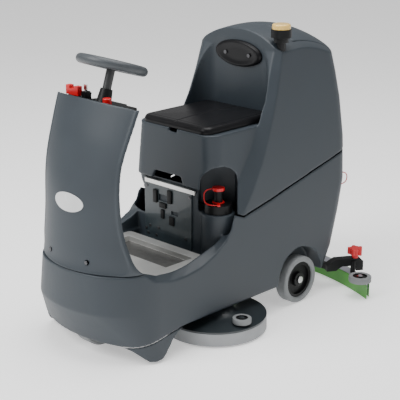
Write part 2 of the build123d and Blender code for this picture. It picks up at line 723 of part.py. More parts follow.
with BuildPart() as speed_knob:
    rod((SPEED_X, SPEED_Y, DASH_Z + 2), (0, 0, 1), 5, 8)
    rod((SPEED_X, SPEED_Y, DASH_Z + 7), (0, 0, 1), 18, 29)
    fillet(speed_knob.faces().sort_by(Axis.Z)[-1].edges(), 5)
done(speed_knob, "speed_knob")

# ---------------------------------------------------------------- footwell
TRAY_T = 2.5
with BuildPart() as foot_plate:
    box((-252, -540, FLOOR_Z + 0.2), (252, -175, FLOOR_Z + 0.2 + TRAY_T))
    fillet(foot_plate.edges().filter_by(Axis.Z), 20)
    box((-205, -388, 312), (205, -225, FLOOR_Z + 0.2 + TRAY_T))
    box((-202.5, -385.5, 314.5), (202.5, -227.5, 360), Mode.SUBTRACT)
done(foot_plate, "foot_plate")
WALL_FACE = FOOT_REAR_Y - 0.2
with BuildPart() as electrics_cover:
    box((-212, WALL_FACE - 6, TROUGH_Z + 2), (86, WALL_FACE, 597))
    # cable slots
    box((-120, WALL_FACE - 12, 500), (-64, WALL_FACE + 2, 530), Mode.SUBTRACT)
    box((-40, WALL_FACE - 12, 450), (0, WALL_FACE + 2, 466), Mode.SUBTRACT)
done(electrics_cover, "electrics_cover")
PANEL_SCREWS = [(-195, 555), (76, 555), (-203, 352), (51, 356), (-178, 369), (-122, 369), (-190, 331),
                (-137, 331)]
with BuildPart() as panel_screws:
    for x, z in PANEL_SCREWS:
        rod((x, WALL_FACE - 9, z), (0, 1, 0), 7, 3)
    for side in (1, -1):
        rod((side * COWL_SCREW_X, -744, COWL_SCREW_Z), (0, 1, 0), 8.6, 5)
done(panel_screws, "panel_screws")
with BuildPart() as support_bar:
    box((-202, WALL_FACE - 14, 573), (112, WALL_FACE - 6, 593))
done(support_bar, "support_bar")
PEDAL_X = -110
with BuildPart() as drive_pedal:
    with BuildSketch(Plane.YZ.offset(PEDAL_X - 38)):
        with BuildLine():
            Polyline((-500, 346), (-578, 386), (-582, 378), (-506, 339.5), close=True)
        make_face()
    extrude(amount=76)
done(drive_pedal, "drive_pedal")

# ---------------------------------------------------------------- frame and wheels
RAIL_LOW = 122
RAIL_HIGH = 146
PIN_R = 8
FIT = 0.06              # radial clearance of the running pins
LIFT_Y = 440
LIFT_Z = 124
with BuildPart() as chassis_frame:
    for side in (1, -1):
        near, far = sorted((side * 60, side * 90))
        box((near, -455, RAIL_LOW), (far, 560, RAIL_HIGH))
        box((near, -455, RAIL_LOW), (far, -430, 308))
        box((near, 0, RAIL_HIGH), (far, 60, BAY_FLOOR_Z - 18))
        box((near, 380, RAIL_HIGH), (far, 440, BAY_FLOOR_Z - 18))
        # deck arm ears with their pins
        ear_in, ear_out = sorted((side * 34, side * 45.6))
        box((ear_in, 136, 64), (ear_out, 166, RAIL_HIGH))
        for z in (UPPER_ARM_Z, LOWER_ARM_Z):
            rod((side * 36, PIVOT_Y, z), (side, 0, 0), ARM_PIN_R, 24)
        # squeegee lift ears
        ear_in, ear_out = sorted((side * 20.6, side * 32))
        box((ear_in, 415, 108), (ear_out, 452, RAIL_HIGH))
    box((-90, 136, 128), (90, 166, RAIL_HIGH))
    box((-90, 396, RAIL_LOW), (90, 422, RAIL_HIGH))
    rod((-32, LIFT_Y, LIFT_Z), (1, 0, 0), PIN_R, 64)
    box((-90, -690, 296), (90, -430, 308))
    rod((0, DRIVE_Y, 296), (0, 0, 1), 46, 26)
    rod((0, DRIVE_Y, 280), (0, 0, 1), 20 + FIT, 60, Mode.SUBTRACT)
done(chassis_frame, "chassis_frame")

with BuildPart() as rear_axle:
    box((-240, AXLE_Y - 15, 92), (240, AXLE_Y + 15, RAIL_LOW))
    rod((-323, AXLE_Y, WHEEL_R), (1, 0, 0), AXLE_R, 646)
    for side in (1, -1):
        rod((side * 240, AXLE_Y, WHEEL_R), (side, 0, 0), 11.4, 28)
        rod((side * 323, AXLE_Y, WHEEL_R), (side, 0, 0), 16, 6)
done(rear_axle, "rear_axle")


def ring(middle, axis, outer, inner, width, round_r):
    """A tyre: a ring with rounded shoulders, centred on middle."""
    x_dir = (0, 0, 1)
    with BuildSketch(Plane(origin=middle, x_dir=axis, z_dir=(0, 1, 0))) as section:
        with Locations((0, (outer + inner) / 2)):
            RectangleRounded(width, outer - inner, round_r)
    revolve(section.sketch, axis=Axis(middle, axis))


for side, name in ((1, "left"), (-1, "right")):
    middle = (side * WHEEL_X, AXLE_Y, WHEEL_R)
    with BuildPart() as rear_tyre:
        ring(middle, (1, 0, 0), WHEEL_R, RIM_R, WHEEL_W, 9)
    done(rear_tyre, "rear_tyre_" + name)
    with BuildPart() as rear_hub:
        rod((side * (WHEEL_X - 24), AXLE_Y, WHEEL_R), (side, 0, 0), RIM_R, 44)
        rod((side * (WHEEL_X + 6), AXLE_Y, WHEEL_R), (side, 0, 0), 70, 20, Mode.SUBTRACT)
        rod((side * (WHEEL_X + 4), AXLE_Y, WHEEL_R), (side, 0, 0), 34, 19)
        rod((side * 200, AXLE_Y, WHEEL_R), (side, 0, 0), AXLE_R + FIT, 200, Mode.SUBTRACT)
    done(rear_hub, "rear_hub_" + name)

DRIVE_Z = DRIVE_R
with BuildPart() as drive_fork:
    rod((0, DRIVE_Y, 250), (0, 0, 1), 20, 72)
    rod((0, DRIVE_Y, 250), (0, 0, 1), 40, 45.5)
    box((-62, DRIVE_Y - 34, 232), (62, DRIVE_Y + 34, 256))
    for side in (1, -1):
        near, far = sorted((side * 46, side * 62))
        box((near, DRIVE_Y - 30, 88), (far, DRIVE_Y + 30, 256))
    rod((-62, DRIVE_Y, DRIVE_Z), (1, 0, 0), 12, 124)
    rod((62, DRIVE_Y, DRIVE_Z), (1, 0, 0), 44, 46)
done(drive_fork, "drive_fork")
with BuildPart() as drive_tyre:
    ring((0, DRIVE_Y, DRIVE_Z), (1, 0, 0), DRIVE_R, 84, DRIVE_W, 9)
done(drive_tyre, "drive_tyre")
with BuildPart() as drive_hub:
    rod((-34, DRIVE_Y, DRIVE_Z), (1, 0, 0), 84, 68)
    rod((-80, DRIVE_Y, DRIVE_Z), (1, 0, 0), 12 + FIT, 160, Mode.SUBTRACT)
done(drive_hub, "drive_hub")

with BuildPart() as batteries:
    for x in (-90, 90):
        for y in (136, 374):
            box((x - 85, y - 118, BAY_FLOOR_Z), (x + 85, y + 118, BAY_FLOOR_Z + 262))
done(batteries, "batteries")
with BuildPart() as motor_controller:
    box((-140, -96, FLOOR_Z), (100, -48, 460))
done(motor_controller, "motor_controller")

# ---------------------------------------------------------------- brush deck
STUB_R = 12
ROLLER_DECK_X = 419
ROLLER_DECK_Y = -148
DOME = [(0, 104), (74, 104), (94, 86), (130, 79), (205, 73), (227, 70), (227, 62), (206, 64),
        (128, 70), (90, 77), (70, 94), (0, 94)]
with BuildPart() as deck_shell:
    for side in (1, -1):
        at = (side * DECK_X, DECK_Y, 0)
        with BuildSketch(Plane(origin=at, x_dir=(1, 0, 0), z_dir=(0, -1, 0))) as section:
            with BuildLine():
                Polyline(*DOME, close=True)
            make_face()
        revolve(section.sketch, axis=Axis(at, (0, 0, 1)))
        # post of the corner roller
        rod((side * ROLLER_DECK_X, ROLLER_DECK_Y, 71), (0, 0, 1), 16, 8.6)
        rod((side * ROLLER_DECK_X, ROLLER_DECK_Y, 71), (0, 0, 1), PIN_R, 35)
        ear_in, ear_out = sorted((side * 34, side * 45.6))
        box((ear_in, -100, 64), (ear_out, 14, 126))
        for z in (UPPER_ARM_Z, LOWER_ARM_Z):
            rod((side * 36, PIVOT_Y - ARM_REACH, z), (side, 0, 0), ARM_PIN_R, 24)
    box((-90, -180, 64), (90, -86, 78))
    for side in (1, -1):
        rod((side * DECK_X, DECK_Y, 80), (0, 0, 1), STUB_R + FIT, 40, Mode.SUBTRACT)
done(deck_shell, "deck_shell")
with BuildPart() as deck_skirts:
    for side in (1, -1):
        rod((side * DECK_X, DECK_Y, 6), (0, 0, 1), DECK_R, 56)
        rod((side * DECK_X, DECK_Y, 0), (0, 0, 1), DECK_R - 8, 80, Mode.SUBTRACT)
done(deck_skirts, "deck_skirts")
with BuildPart() as brush_motors:
    for side in (1, -1):
        rod((side * DECK_X, DECK_Y, 104.2), (0, 0, 1), 55, 90)
done(brush_motors, "brush_motors")
for side, name in ((1, "left"), (-1, "right")):
    with BuildPart() as brush:
        rod((side * DECK_X, DECK_Y, 0), (0, 0, 1), BRUSH_R, 44)
        rod((side * DECK_X, DECK_Y, 0), (0, 0, 1), 74, 26, Mode.SUBTRACT)
        rod((side * DECK_X, DECK_Y, 44), (0, 0, 1), 60, 14)
        rod((side * DECK_X, DECK_Y, 50), (0, 0, 1), STUB_R, 53)
    done(brush, "brush_" + name)
    with BuildPart() as deck_roller:
        rod((side * ROLLER_DECK_X, ROLLER_DECK_Y, 80), (0, 0, 1), 41, 24)
        fillet(deck_roller.edges(), 5)
        rod((side * ROLLER_DECK_X, ROLLER_DECK_Y, 70), (0, 0, 1), PIN_R + FIT, 40, Mode.SUBTRACT)
    done(deck_roller, "deck_roller_" + name)


def arms(z):
    """Pair of deck arms with their tie bar, in the current part."""
    for side in (1, -1):
        near, far = sorted((side * 46, side * 58))
        box((near, PIVOT_Y - ARM_REACH - 12, z - ARM_HALF), (far, PIVOT_Y + 12, z + ARM_HALF))
        for y in (PIVOT_Y, PIVOT_Y - ARM_REACH):
            rod((side * 40, y, z), (side, 0, 0), ARM_PIN_R + FIT, 30, Mode.SUBTRACT)
    rod((-50, PIVOT_Y - ARM_REACH / 2, z), (1, 0, 0), 6, 100)


with BuildPart() as deck_upper_arms:
    arms(UPPER_ARM_Z)
done(deck_upper_arms, "deck_upper_arms")
with BuildPart() as deck_lower_arms:
    arms(LOWER_ARM_Z)
done(deck_lower_arms, "deck_lower_arms")

# ---------------------------------------------------------------- squeegee
BLADE_MIDDLE = BLADE_Y - BLADE_R
REAR_MIDDLE = REAR_BLADE_Y - REAR_BLADE_R
SWING_R = 10


def arc_band(middle_y, r_in, r_out, half_x, low, high):
    """Part of a ring behind the machine, cut off at half_x, from low to high."""
    rod((0, middle_y, low), (0, 0, 1), r_out, high - low)
    rod((0, middle_y, low), (0, 0, 1), r_in, high - low, Mode.SUBTRACT)
    box((-half_x, 400, low), (half_x, 900, high), Mode.INTERSECT)


with BuildPart() as front_blade:
    arc_band(BLADE_MIDDLE, BLADE_R - BLADE_T / 2, BLADE_R + BLADE_T / 2, TIP_X, 0, 70)
with BuildPart() as rear_blade:
    arc_band(REAR_MIDDLE, REAR_BLADE_R - BLADE_T / 2, REAR_BLADE_R + BLADE_T / 2, 518, 0, 70)
with BuildPart() as squeegee_blades:
    add(front_blade.part)
    add(rear_blade.part)
done(squeegee_blades, "squeegee_blades")
SPIGOT = Vector(0, 738, 108)
SPIGOT_WAY = Vector(0, sin(radians(20)), cos(radians(20)))
with BuildPart() as squeegee_body:
    rod((0, REAR_MIDDLE, 40), (0, 0, 1), REAR_BLADE_R - BLADE_T / 2, 30)
    rod((0, BLADE_MIDDLE, 40), (0, 0, 1), BLADE_R + BLADE_T / 2, 30, Mode.SUBTRACT)
    box((-512, 400, 40), (512, 900, 70), Mode.INTERSECT)
    # roller plates over the ends
    for side in (1, -1):
        rod((side * ROLLER_X, ROLLER_Y, 70.2), (0, 0, 1), 26, 6)
        rod((side * ROLLER_X, ROLLER_Y + 20, 70.2), (0, 0, 1), 24, 6)
        rod((side * ROLLER_X, ROLLER_Y + 22, 66), (0, 0, 1), 3, 8)
        rod((side * ROLLER_X, ROLLER_Y, 74), (0, 0, 1), PIN_R, 34)
    # suction spigot, leaning back so that its hose clears the body
    rod(SPIGOT - 44 * SPIGOT_WAY, SPIGOT_WAY, 28, 19)
    rod(SPIGOT - 30 * SPIGOT_WAY, SPIGOT_WAY, 25, 55)
    rod(SPIGOT - 85 * SPIGOT_WAY, SPIGOT_WAY, 21, 130, Mode.SUBTRACT)
done(squeegee_body, "squeegee_body")

ARM_FOOT = Vector(300, 590, 0)
ARM_WAY = Vector(95, 145, 0).normalized()
with BuildPart() as squeegee_bracket:
    for side in (1, -1):
        foot = Vector(side * ARM_FOOT.X, ARM_FOOT.Y, 0)
        way = Vector(side * ARM_WAY.X, ARM_WAY.Y, 0)
        across = Vector(way.Y, -way.X, 0)
        with BuildSketch(Plane(origin=foot - across * 22, x_dir=way, z_dir=across)) as outline:
            with BuildLine():
                Polyline((-14, 84), (-14, 112), (30, 140), (150, 140), (166, 124),
                         (166, 78), (132, 78), (128, 92), (112, 104), (62, 104),
                         (46, 96), (32, 84), close=True)
            make_face()
        extrude(outline.sketch, amount=44)
        rod((side * KNOB_X, KNOB_Y, 138), (0, 0, 1), 5, 40)
        rod((side * KNOB_X, KNOB_Y - 14, 70.2), (0, 0, 1), 12, 60)
    box((-306, 586, 84), (306, 612, 112))
    rod((0, PIN_Y, 112), (0, 0, 1), SWING_R, 30)
    rod((0, PIN_Y, 134.4), (0, 0, 1), 16, 6)
done(squeegee_bracket, "squeegee_bracket")
with BuildPart() as squeegee_arm:
    box((-20, LIFT_Y - 14, 113), (20, PIN_Y + 24, 134))
    fillet(squeegee_arm.edges().filter_by(Axis.Z).group_by(Axis.Y)[-1], 14)
    rod((-40, LIFT_Y, LIFT_Z), (1, 0, 0), PIN_R + FIT, 80, Mode.SUBTRACT)
    rod((0, PIN_Y, 100), (0, 0, 1), SWING_R + FIT, 60, Mode.SUBTRACT)
done(squeegee_arm, "squeegee_arm")

for side, name in ((1, "left"), (-1, "right")):
    with BuildPart() as knob:
        rod((side * KNOB_X, KNOB_Y, 142), (0, 0, 1), 15, 20)
        with BuildSketch(Plane.XY.offset(160)) as star:
            with Locations((side * KNOB_X, KNOB_Y)):
                Circle(27)
                with PolarLocations(28, 5):
                    Circle(9)
        extrude(star.sketch, amount=32)
        rod((side * KNOB_X, KNOB_Y, 140), (0, 0, 1), 5 + FIT, 40, Mode.SUBTRACT)
    done(knob, "squeegee_knob_" + name)
    with BuildPart() as roller:
        rod((side * ROLLER_X, ROLLER_Y, 77), (0, 0, 1), ROLLER_R, 27)
        fillet(roller.edges(), 6)
        rod((side * ROLLER_X, ROLLER_Y, 70), (0, 0, 1), PIN_R + FIT, 50, Mode.SUBTRACT)
    done(roller, "squeegee_roller_" + name)
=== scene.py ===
import json
import math

import bmesh
import bpy
from mathutils import Matrix, Vector


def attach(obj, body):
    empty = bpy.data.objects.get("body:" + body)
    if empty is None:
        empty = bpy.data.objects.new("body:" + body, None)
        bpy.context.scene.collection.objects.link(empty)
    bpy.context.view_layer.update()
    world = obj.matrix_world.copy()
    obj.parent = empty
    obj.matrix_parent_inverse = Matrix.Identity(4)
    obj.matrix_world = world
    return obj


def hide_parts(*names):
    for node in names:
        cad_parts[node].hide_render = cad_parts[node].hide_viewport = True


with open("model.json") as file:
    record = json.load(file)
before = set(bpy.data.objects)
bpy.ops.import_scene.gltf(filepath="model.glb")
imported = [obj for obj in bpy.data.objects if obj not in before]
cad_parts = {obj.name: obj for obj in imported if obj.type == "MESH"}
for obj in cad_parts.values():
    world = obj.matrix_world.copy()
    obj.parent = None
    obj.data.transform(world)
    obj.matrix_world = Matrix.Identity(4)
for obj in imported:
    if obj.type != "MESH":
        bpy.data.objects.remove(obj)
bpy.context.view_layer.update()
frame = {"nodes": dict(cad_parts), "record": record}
NODES = frame["nodes"]
MM = 0.001

# ---------------------------------------------------------------- camera
CAMERA_AT = Vector((3.4572, -3.4875, 2.0636))
CAMERA_TURN = math.radians(44.56)
CAMERA_RISE = math.radians(17.66)
CAMERA_LENS = 103.56
CAMERA_FILM = 36


def add_camera():
    """A long lens looking down at the front corner on the rider's left."""
    data = bpy.data.cameras.new("camera")
    data.lens = CAMERA_LENS
    data.sensor_width = CAMERA_FILM
    data.clip_end = 60
    camera = bpy.data.objects.new("camera", data)
    bpy.context.collection.objects.link(camera)
    back = Vector((math.sin(CAMERA_TURN) * math.cos(CAMERA_RISE),
                   -math.cos(CAMERA_TURN) * math.cos(CAMERA_RISE), math.sin(CAMERA_RISE)))
    camera.location = CAMERA_AT
    camera.rotation_mode = "QUATERNION"
    camera.rotation_quaternion = (-back).to_track_quat("-Z", "Y")
    bpy.context.scene.camera = camera


add_camera()


# ---------------------------------------------------------------- materials
def material(name, colour, rough, metallic=0.0, coat=0.0, grain=0.0, grain_size=0.002,
             mottle=0.0, mottle_size=0.08, brushed=None):
    """Principled surface with optional fine grain, slow colour change and brushing."""
    made = bpy.data.materials.new(name)
    made.use_nodes = True
    tree = made.node_tree
    shader = tree.nodes["Principled BSDF"]
    shader.inputs["Base Color"].default_value = (*colour, 1)
    shader.inputs["Roughness"].default_value = rough
    shader.inputs["Metallic"].default_value = metallic
    shader.inputs["Coat Weight"].default_value = coat
    place = tree.nodes.new("ShaderNodeTexCoord")
    if mottle:
        slow = tree.nodes.new("ShaderNodeTexNoise")
        slow.inputs["Scale"].default_value = 1 / mottle_size
        slow.inputs["Detail"].default_value = 5
        ramp = tree.nodes.new("ShaderNodeValToRGB")
        ramp.color_ramp.elements[0].position = 0.3
        ramp.color_ramp.elements[1].position = 0.7
        ramp.color_ramp.elements[0].color = (*(c * (1 - mottle) for c in colour), 1)
        ramp.color_ramp.elements[1].color = (*(c * (1 + mottle) for c in colour), 1)
        tree.links.new(place.outputs["Object"], slow.inputs["Vector"])
        tree.links.new(slow.outputs["Fac"], ramp.inputs["Fac"])
        tree.links.new(ramp.outputs["Color"], shader.inputs["Base Color"])
        spread = tree.nodes.new("ShaderNodeMapRange")
        spread.inputs["To Min"].default_value = max(0.02, rough - 0.06)
        spread.inputs["To Max"].default_value = rough + 0.06
        tree.links.new(slow.outputs["Fac"], spread.inputs["Value"])
        tree.links.new(spread.outputs["Result"], shader.inputs["Roughness"])
    if grain:
        fine = tree.nodes.new("ShaderNodeTexNoise")
        fine.inputs["Scale"].default_value = 1 / grain_size
        fine.inputs["Detail"].default_value = 3
        if brushed:
            stretch = tree.nodes.new("ShaderNodeMapping")
            stretch.inputs["Scale"].default_value = brushed
            tree.links.new(place.outputs["Object"], stretch.inputs["Vector"])
            tree.links.new(stretch.outputs["Vector"], fine.inputs["Vector"])
        else:
            tree.links.new(place.outputs["Object"], fine.inputs["Vector"])
        bump = tree.nodes.new("ShaderNodeBump")
        bump.inputs["Strength"].default_value = grain
        bump.inputs["Distance"].default_value = 0.0006
        tree.links.new(fine.outputs["Fac"], bump.inputs["Height"])
        tree.links.new(bump.outputs["Normal"], shader.inputs["Normal"])
    return made


BODY = material("body_plastic", (0.025, 0.034, 0.043), 0.5, grain=0.22, grain_size=0.0016,
                mottle=0.05, mottle_size=0.12)
BLACK = material("black_plastic", (0.006, 0.0065, 0.007), 0.42, grain=0.2, mottle=0.15, mottle_size=0.03)
GRIP = material("grip_plastic", (0.05, 0.057, 0.064), 0.45, grain=0.35, grain_size=0.0012,
                mottle=0.08)
VINYL = material("seat_vinyl", (0.005, 0.005, 0.006), 0.34, grain=0.6, grain_size=0.0025,
                 mottle=0.12)
STEEL = material("stainless", (0.74, 0.74, 0.72), 0.36, metallic=0.75, grain=0.25, grain_size=0.002,
                 mottle=0.05, brushed=(0.05, 1, 1))
PAINT = material("frame_paint", (0.03, 0.032, 0.034), 0.45, coat=0.2, grain=0.15, mottle=0.1)
TURNED = material("turned_steel", (0.55, 0.55, 0.55), 0.28, metallic=1, grain=0.2, mottle=0.06)
TYRE = material("tyre_grey", (0.2, 0.21, 0.215), 0.7, grain=0.4, grain_size=0.0015, mottle=0.1)
SKIRT = material("skirt_grey", (0.3, 0.31, 0.32), 0.62, grain=0.3, mottle=0.08)
GREEN = material("green_blade", (0.06, 0.3, 0.025), 0.4, grain=0.15, mottle=0.1)
RED = material("red_plastic", (0.62, 0.006, 0.01), 0.38, coat=0.05, grain=0.1, mottle=0.05)
STRAP = material("red_strap", (0.62, 0.012, 0.016), 0.45, grain=0.2, mottle=0.08)
AMBER = material("amber_lens", (0.8, 0.52, 0.13), 0.22, coat=0.5, grain=0.1, mottle=0.05)
METAL = material("squeegee_metal", (0.5, 0.5, 0.56), 0.32, metallic=0.85, grain=0.2, mottle=0.06)
BRISTLE = material("bristle", (0.1, 0.1, 0.11), 0.8, grain=0.9, grain_size=0.003, mottle=0.2)
CASE = material("battery_case", (0.04, 0.04, 0.045), 0.5, grain=0.2, mottle=0.1)
BADGE = material("badge_plate", (0.62, 0.63, 0.63), 0.25, coat=0.4, grain=0.08, mottle=0.05)
SILVER = material("bright_metal", (0.7, 0.7, 0.68), 0.2, metallic=1, grain=0.1, mottle=0.05)
# Painted shade: dark metal standing for the tray recess's stainless floor in shadow
TRAY_RECESS_SHADE = material("tray_recess_shade", (0.16, 0.16, 0.155), 0.42, metallic=0.8, grain=0.8, grain_size=0.004,
                 mottle=0.15, mottle_size=0.02)
for dark in (BLACK, VINYL):
    dark.node_tree.nodes["Principled BSDF"].inputs["Specular IOR Level"].default_value = 0.2
PANEL = material("panel_coating", (0.03, 0.043, 0.05), 0.38, coat=0.3, grain=0.2, grain_size=0.0012,
                 mottle=0.12, mottle_size=0.03)
DECK = material("deck_coating", (0.016, 0.022, 0.026), 0.36, coat=0.25, grain=0.15, mottle=0.1)
SCREW = material("dark_screw", (0.09, 0.09, 0.095), 0.35, metallic=0.9, grain=0.2, mottle=0.1)
LOOKS = {
    "body_plastic": BODY, "dark_plastic": BLACK, "seat_vinyl": VINYL, "stainless": STEEL,
    "steel_frame": PAINT, "axle_steel": TURNED, "tyre_grey": TYRE, "skirt_grey": SKIRT,
    "green_blade": GREEN, "red_plastic": RED, "red_strap": STRAP, "amber_lens": AMBER,
    "squeegee_metal": METAL, "bristle": BRISTLE, "battery_case": CASE, "badge_plate": BADGE,
    "key_metal": SILVER,
}
SLOT_OF = {row["node"]: row["material_slot"] for row in frame["record"]["subparts"]}
BODY_OF = {node: body for body, nodes in frame["record"]["behaviour"]["bodies"].items()
           for node in nodes}
LOOK_OF = {node: LOOKS[slot] for node, slot in SLOT_OF.items()}
LOOK_OF.update(steering_wheel=GRIP, electrics_cover=PANEL, deck_shell=DECK, backrest_screws=SCREW,
               panel_screws=SCREW)
for node, thing in NODES.items():
    thing.data.materials.clear()
    thing.data.materials.append(LOOK_OF[node])


# ---------------------------------------------------------------- makers
def finish_mesh(name, work, look, body, smooth=40):
    """Turn a bmesh into a piece that rides on a body."""
    data = bpy.data.meshes.new(name)
    bmesh.ops.recalc_face_normals(work, faces=work.faces)
    work.to_mesh(data)
    work.free()
    piece = bpy.data.objects.new(name, data)
    bpy.context.collection.objects.link(piece)
    data.materials.append(look)
    data.shade_smooth()
    if smooth:
        data.set_sharp_from_angle(angle=math.radians(smooth))
    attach(piece, body)
    return piece


def baked(piece):
    """Apply the piece's modifiers."""
    graph = bpy.context.evaluated_depsgraph_get()
    data = bpy.data.meshes.new_from_object(piece.evaluated_get(graph))
    piece.modifiers.clear()
    old = piece.data
    piece.data = data
    bpy.data.meshes.remove(old)


def rounded(piece, width, segments=3):
    """Round the piece's sharp edges."""
    edge = piece.modifiers.new("bevel", "BEVEL")
    edge.width = width
    edge.segments = segments
    edge.limit_method = "ANGLE"
    edge.angle_limit = math.radians(35)
    baked(piece)
    piece.data.shade_smooth()
    piece.data.set_sharp_from_angle(angle=math.radians(45))


def block(name, low, high, look, body, edge):
    """A box between two corners in millimetres, with rounded edges."""
    work = bmesh.new()
    bmesh.ops.create_cube(work, size=1)
    size = [(b - a) * MM for a, b in zip(low, high)]
    middle = Vector([(a + b) / 2 * MM for a, b in zip(low, high)])
    place = Matrix.Translation(middle) @ Matrix.Diagonal((*size, 1))
    bmesh.ops.transform(work, matrix=place, verts=work.verts)
    piece = finish_mesh(name, work, look, body)
    rounded(piece, edge)
    return piece


def lathe(name, profile, at, axis, look, body, steps=72, smooth=35):
    """Revolve a closed (radius, height) outline in millimetres about an axis at a point."""
    work = bmesh.new()
    turn = Vector(axis).normalized().to_track_quat("Z", "Y").to_matrix().to_4x4()
    place = Matrix.Translation(Vector(at) * MM) @ turn
    rings = []
    for r, h in profile:
        if r < 0.01:
            rings.append([work.verts.new(place @ Vector((0, 0, h * MM)))])
            continue
        rings.append([work.verts.new(place @ Vector((r * MM * math.cos(2 * math.pi * k / steps),
                                                     r * MM * math.sin(2 * math.pi * k / steps),
                                                     h * MM))) for k in range(steps)])
    closed = len(rings[0]) > 1 and len(rings[-1]) > 1
    pairs = list(zip(rings, rings[1:])) + ([(rings[-1], rings[0])] if closed else [])
    for one, two in pairs:
        for k in range(steps):
            n = (k + 1) % steps
            corners = [one[k % len(one)], one[n % len(one)], two[n % len(two)], two[k % len(two)]]
            corners = list(dict.fromkeys(corners))
            if len(corners) > 2:
                work.faces.new(corners)
    return finish_mesh(name, work, look, body, smooth)


def softened(node, voxel, rounds):
    """The CAD node's own shape with moulded, rounded edges."""
    work = bmesh.new()
    work.from_mesh(NODES[node].data)
    bmesh.ops.remove_doubles(work, verts=work.verts, dist=0.000002)
    piece = finish_mesh(node + "_skin", work, LOOK_OF[node], BODY_OF[node])
    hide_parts(node)
    cells = piece.modifiers.new("cells", "REMESH")
    cells.mode = "VOXEL"
    cells.voxel_size = voxel
    ease = piece.modifiers.new("ease", "SMOOTH")
    ease.factor = 0.5
    ease.iterations = rounds
    baked(piece)
    piece.data.shade_smooth()
    return piece


def eased(node, width):
    """The CAD node's own shape with its sharp edges rounded over."""
    work = bmesh.new()
    work.from_mesh(NODES[node].data)
    bmesh.ops.remove_doubles(work, verts=work.verts, dist=0.000002)
    bmesh.ops.dissolve_limit(work, angle_limit=math.radians(1), verts=work.verts, edges=work.edges)
    piece = finish_mesh(node + "_part", work, LOOK_OF[node], BODY_OF[node])
    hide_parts(node)
    edge = piece.modifiers.new("bevel", "BEVEL")
    edge.width = width
    edge.segments = 2
    edge.limit_method = "ANGLE"
    edge.angle_limit = math.radians(38)
    edge.harden_normals = True
    baked(piece)
    return piece


def heights(name, us, vs, place, inside, look, body, base):
    """A pad as a height over a grid; inside gives each point's place and height."""
    work = bmesh.new()
    rows = [[work.verts.new(place @ Vector(inside(u, v)) * MM) for u in us] for v in vs]
    for low, high in zip(rows, rows[1:]):
        for k in range(len(us) - 1):
            work.faces.new((low[k], low[k + 1], high[k + 1], high[k]))
    ring = (rows[0] + [row[-1] for row in rows[1:]] + rows[-1][-2::-1]
            + [row[0] for row in rows[-2:0:-1]])
    foot = []
    for vert in ring:
        local = place.inverted() @ (vert.co / MM)
        foot.append(work.verts.new(place @ Vector((local.x, local.y, base)) * MM))
    for k, vert in enumerate(ring):
        n = (k + 1) % len(ring)
        work.faces.new((vert, ring[n], foot[n], foot[k]))
    work.faces.new(foot)
    return finish_mesh(name, work, look, body, 60)


def tube(name, points, r, look, body):
    """A round cord whose smooth line has the points, in millimetres, as its control points."""
    data = bpy.data.curves.new(name, "CURVE")
    data.dimensions = "3D"
    data.bevel_depth = r * MM
    data.bevel_resolution = 5
    data.use_fill_caps = True
    line = data.splines.new("NURBS")
    line.points.add(len(points) - 1)
    for control, point in zip(line.points, points):
        control.co = (*(c * MM for c in point), 1)
    line.order_u = 3
    line.use_endpoint_u = True
    line.resolution_u = 16
    data.materials.append(look)
    piece = bpy.data.objects.new(name, data)
    bpy.context.collection.objects.link(piece)
    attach(piece, body)
    return piece


# ---------------------------------------------------------------- straps
FILLER_STRAP = [(177, -80, 608), (152, -105, 608), (163, -120, 556), (205, -128, 549),
                (229, -100, 549)]
REAR_STRAP = [(250, 720, 532), (268, 751, 532), (271, 741, 476), (255, 707, 476)]
for strap_name, route, strap_body, long in (("filler_strap", FILLER_STRAP, "filler_cap", 0.1495),
                                            ("rear_strap", REAR_STRAP, "chassis", 0.1063)):
    strap = tube(strap_name + "_line", route, 2.5, STRAP, strap_body)
    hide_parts(strap_name)

# ---------------------------------------------------------------- moulded body
for shell in ("lower_body", "recovery_tank"):
    softened(shell, 0.004, 8)
for shell in ("front_cowl", "leg_shield", "side_valances", "tank_lid"):
    softened(shell, 0.003, 6)


# ---------------------------------------------------------------- seat and backrest
SEAT_X = 205
SEAT_Y = (-142, 283)
SEAT_CORNER = 42        # corner radius of the cushion in plan
SEAT_ROLL = 20          # width of its rolled edge
SEAT_FOOT = 859         # height of its underside
SEAM_IN = 27            # the stitched seam's distance from the edge


def seat_height(x, y):
    """Crowned cushion with a rolled edge, a stitched seam round it and a shallow centre crease."""
    middle = sum(SEAT_Y) / 2
    deep = (SEAT_Y[1] - SEAT_Y[0]) / 2
    dx = abs(x) - (SEAT_X - SEAT_CORNER)
    dy = abs(y - middle) - (deep - SEAT_CORNER)
    reach = math.hypot(dx, dy)
    gap = SEAT_CORNER - max(dx, dy)
    if dx > 0 and dy > 0:
        gap = max(0, SEAT_CORNER - reach)
        if reach > SEAT_CORNER:
            k = SEAT_CORNER / reach
            x = math.copysign(SEAT_X - SEAT_CORNER + dx * k, x)
            y = middle + math.copysign(deep - SEAT_CORNER + dy * k, y - middle)
    t = min(gap, SEAT_ROLL) / SEAT_ROLL
    rolled = 22 * math.sqrt(max(0, 1 - (1 - t) ** 2))
    crown = 4 * min(1, max(0, gap - SEAT_ROLL) / 110)
    seam = 1.8 * math.exp(-((gap - SEAM_IN) / 2.4) ** 2)
    crease = 2.2 * math.exp(-(x / 4.5) ** 2) * min(1, gap / 30)
    return x, y, 866 + rolled + crown - seam - crease


def grid_line(low, high, count):
    """Grid lines from low to high, closer together near both ends."""
    return [low + (high - low) * (0.5 - 0.5 * math.cos(math.pi * k / count))
            for k in range(count + 1)]


def add_seat():
    """The padded seat, with extra grid lines at its crease."""
    crease_lines = {-14 + 28 * k / 16 for k in range(17)}
    xs = sorted(set(grid_line(-SEAT_X, SEAT_X, 84)) | crease_lines)
    cushion = heights("seat_cushion", xs, grid_line(*SEAT_Y, 84), Matrix(), seat_height,
                      VINYL, "seat", SEAT_FOOT)
    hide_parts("seat_pad")


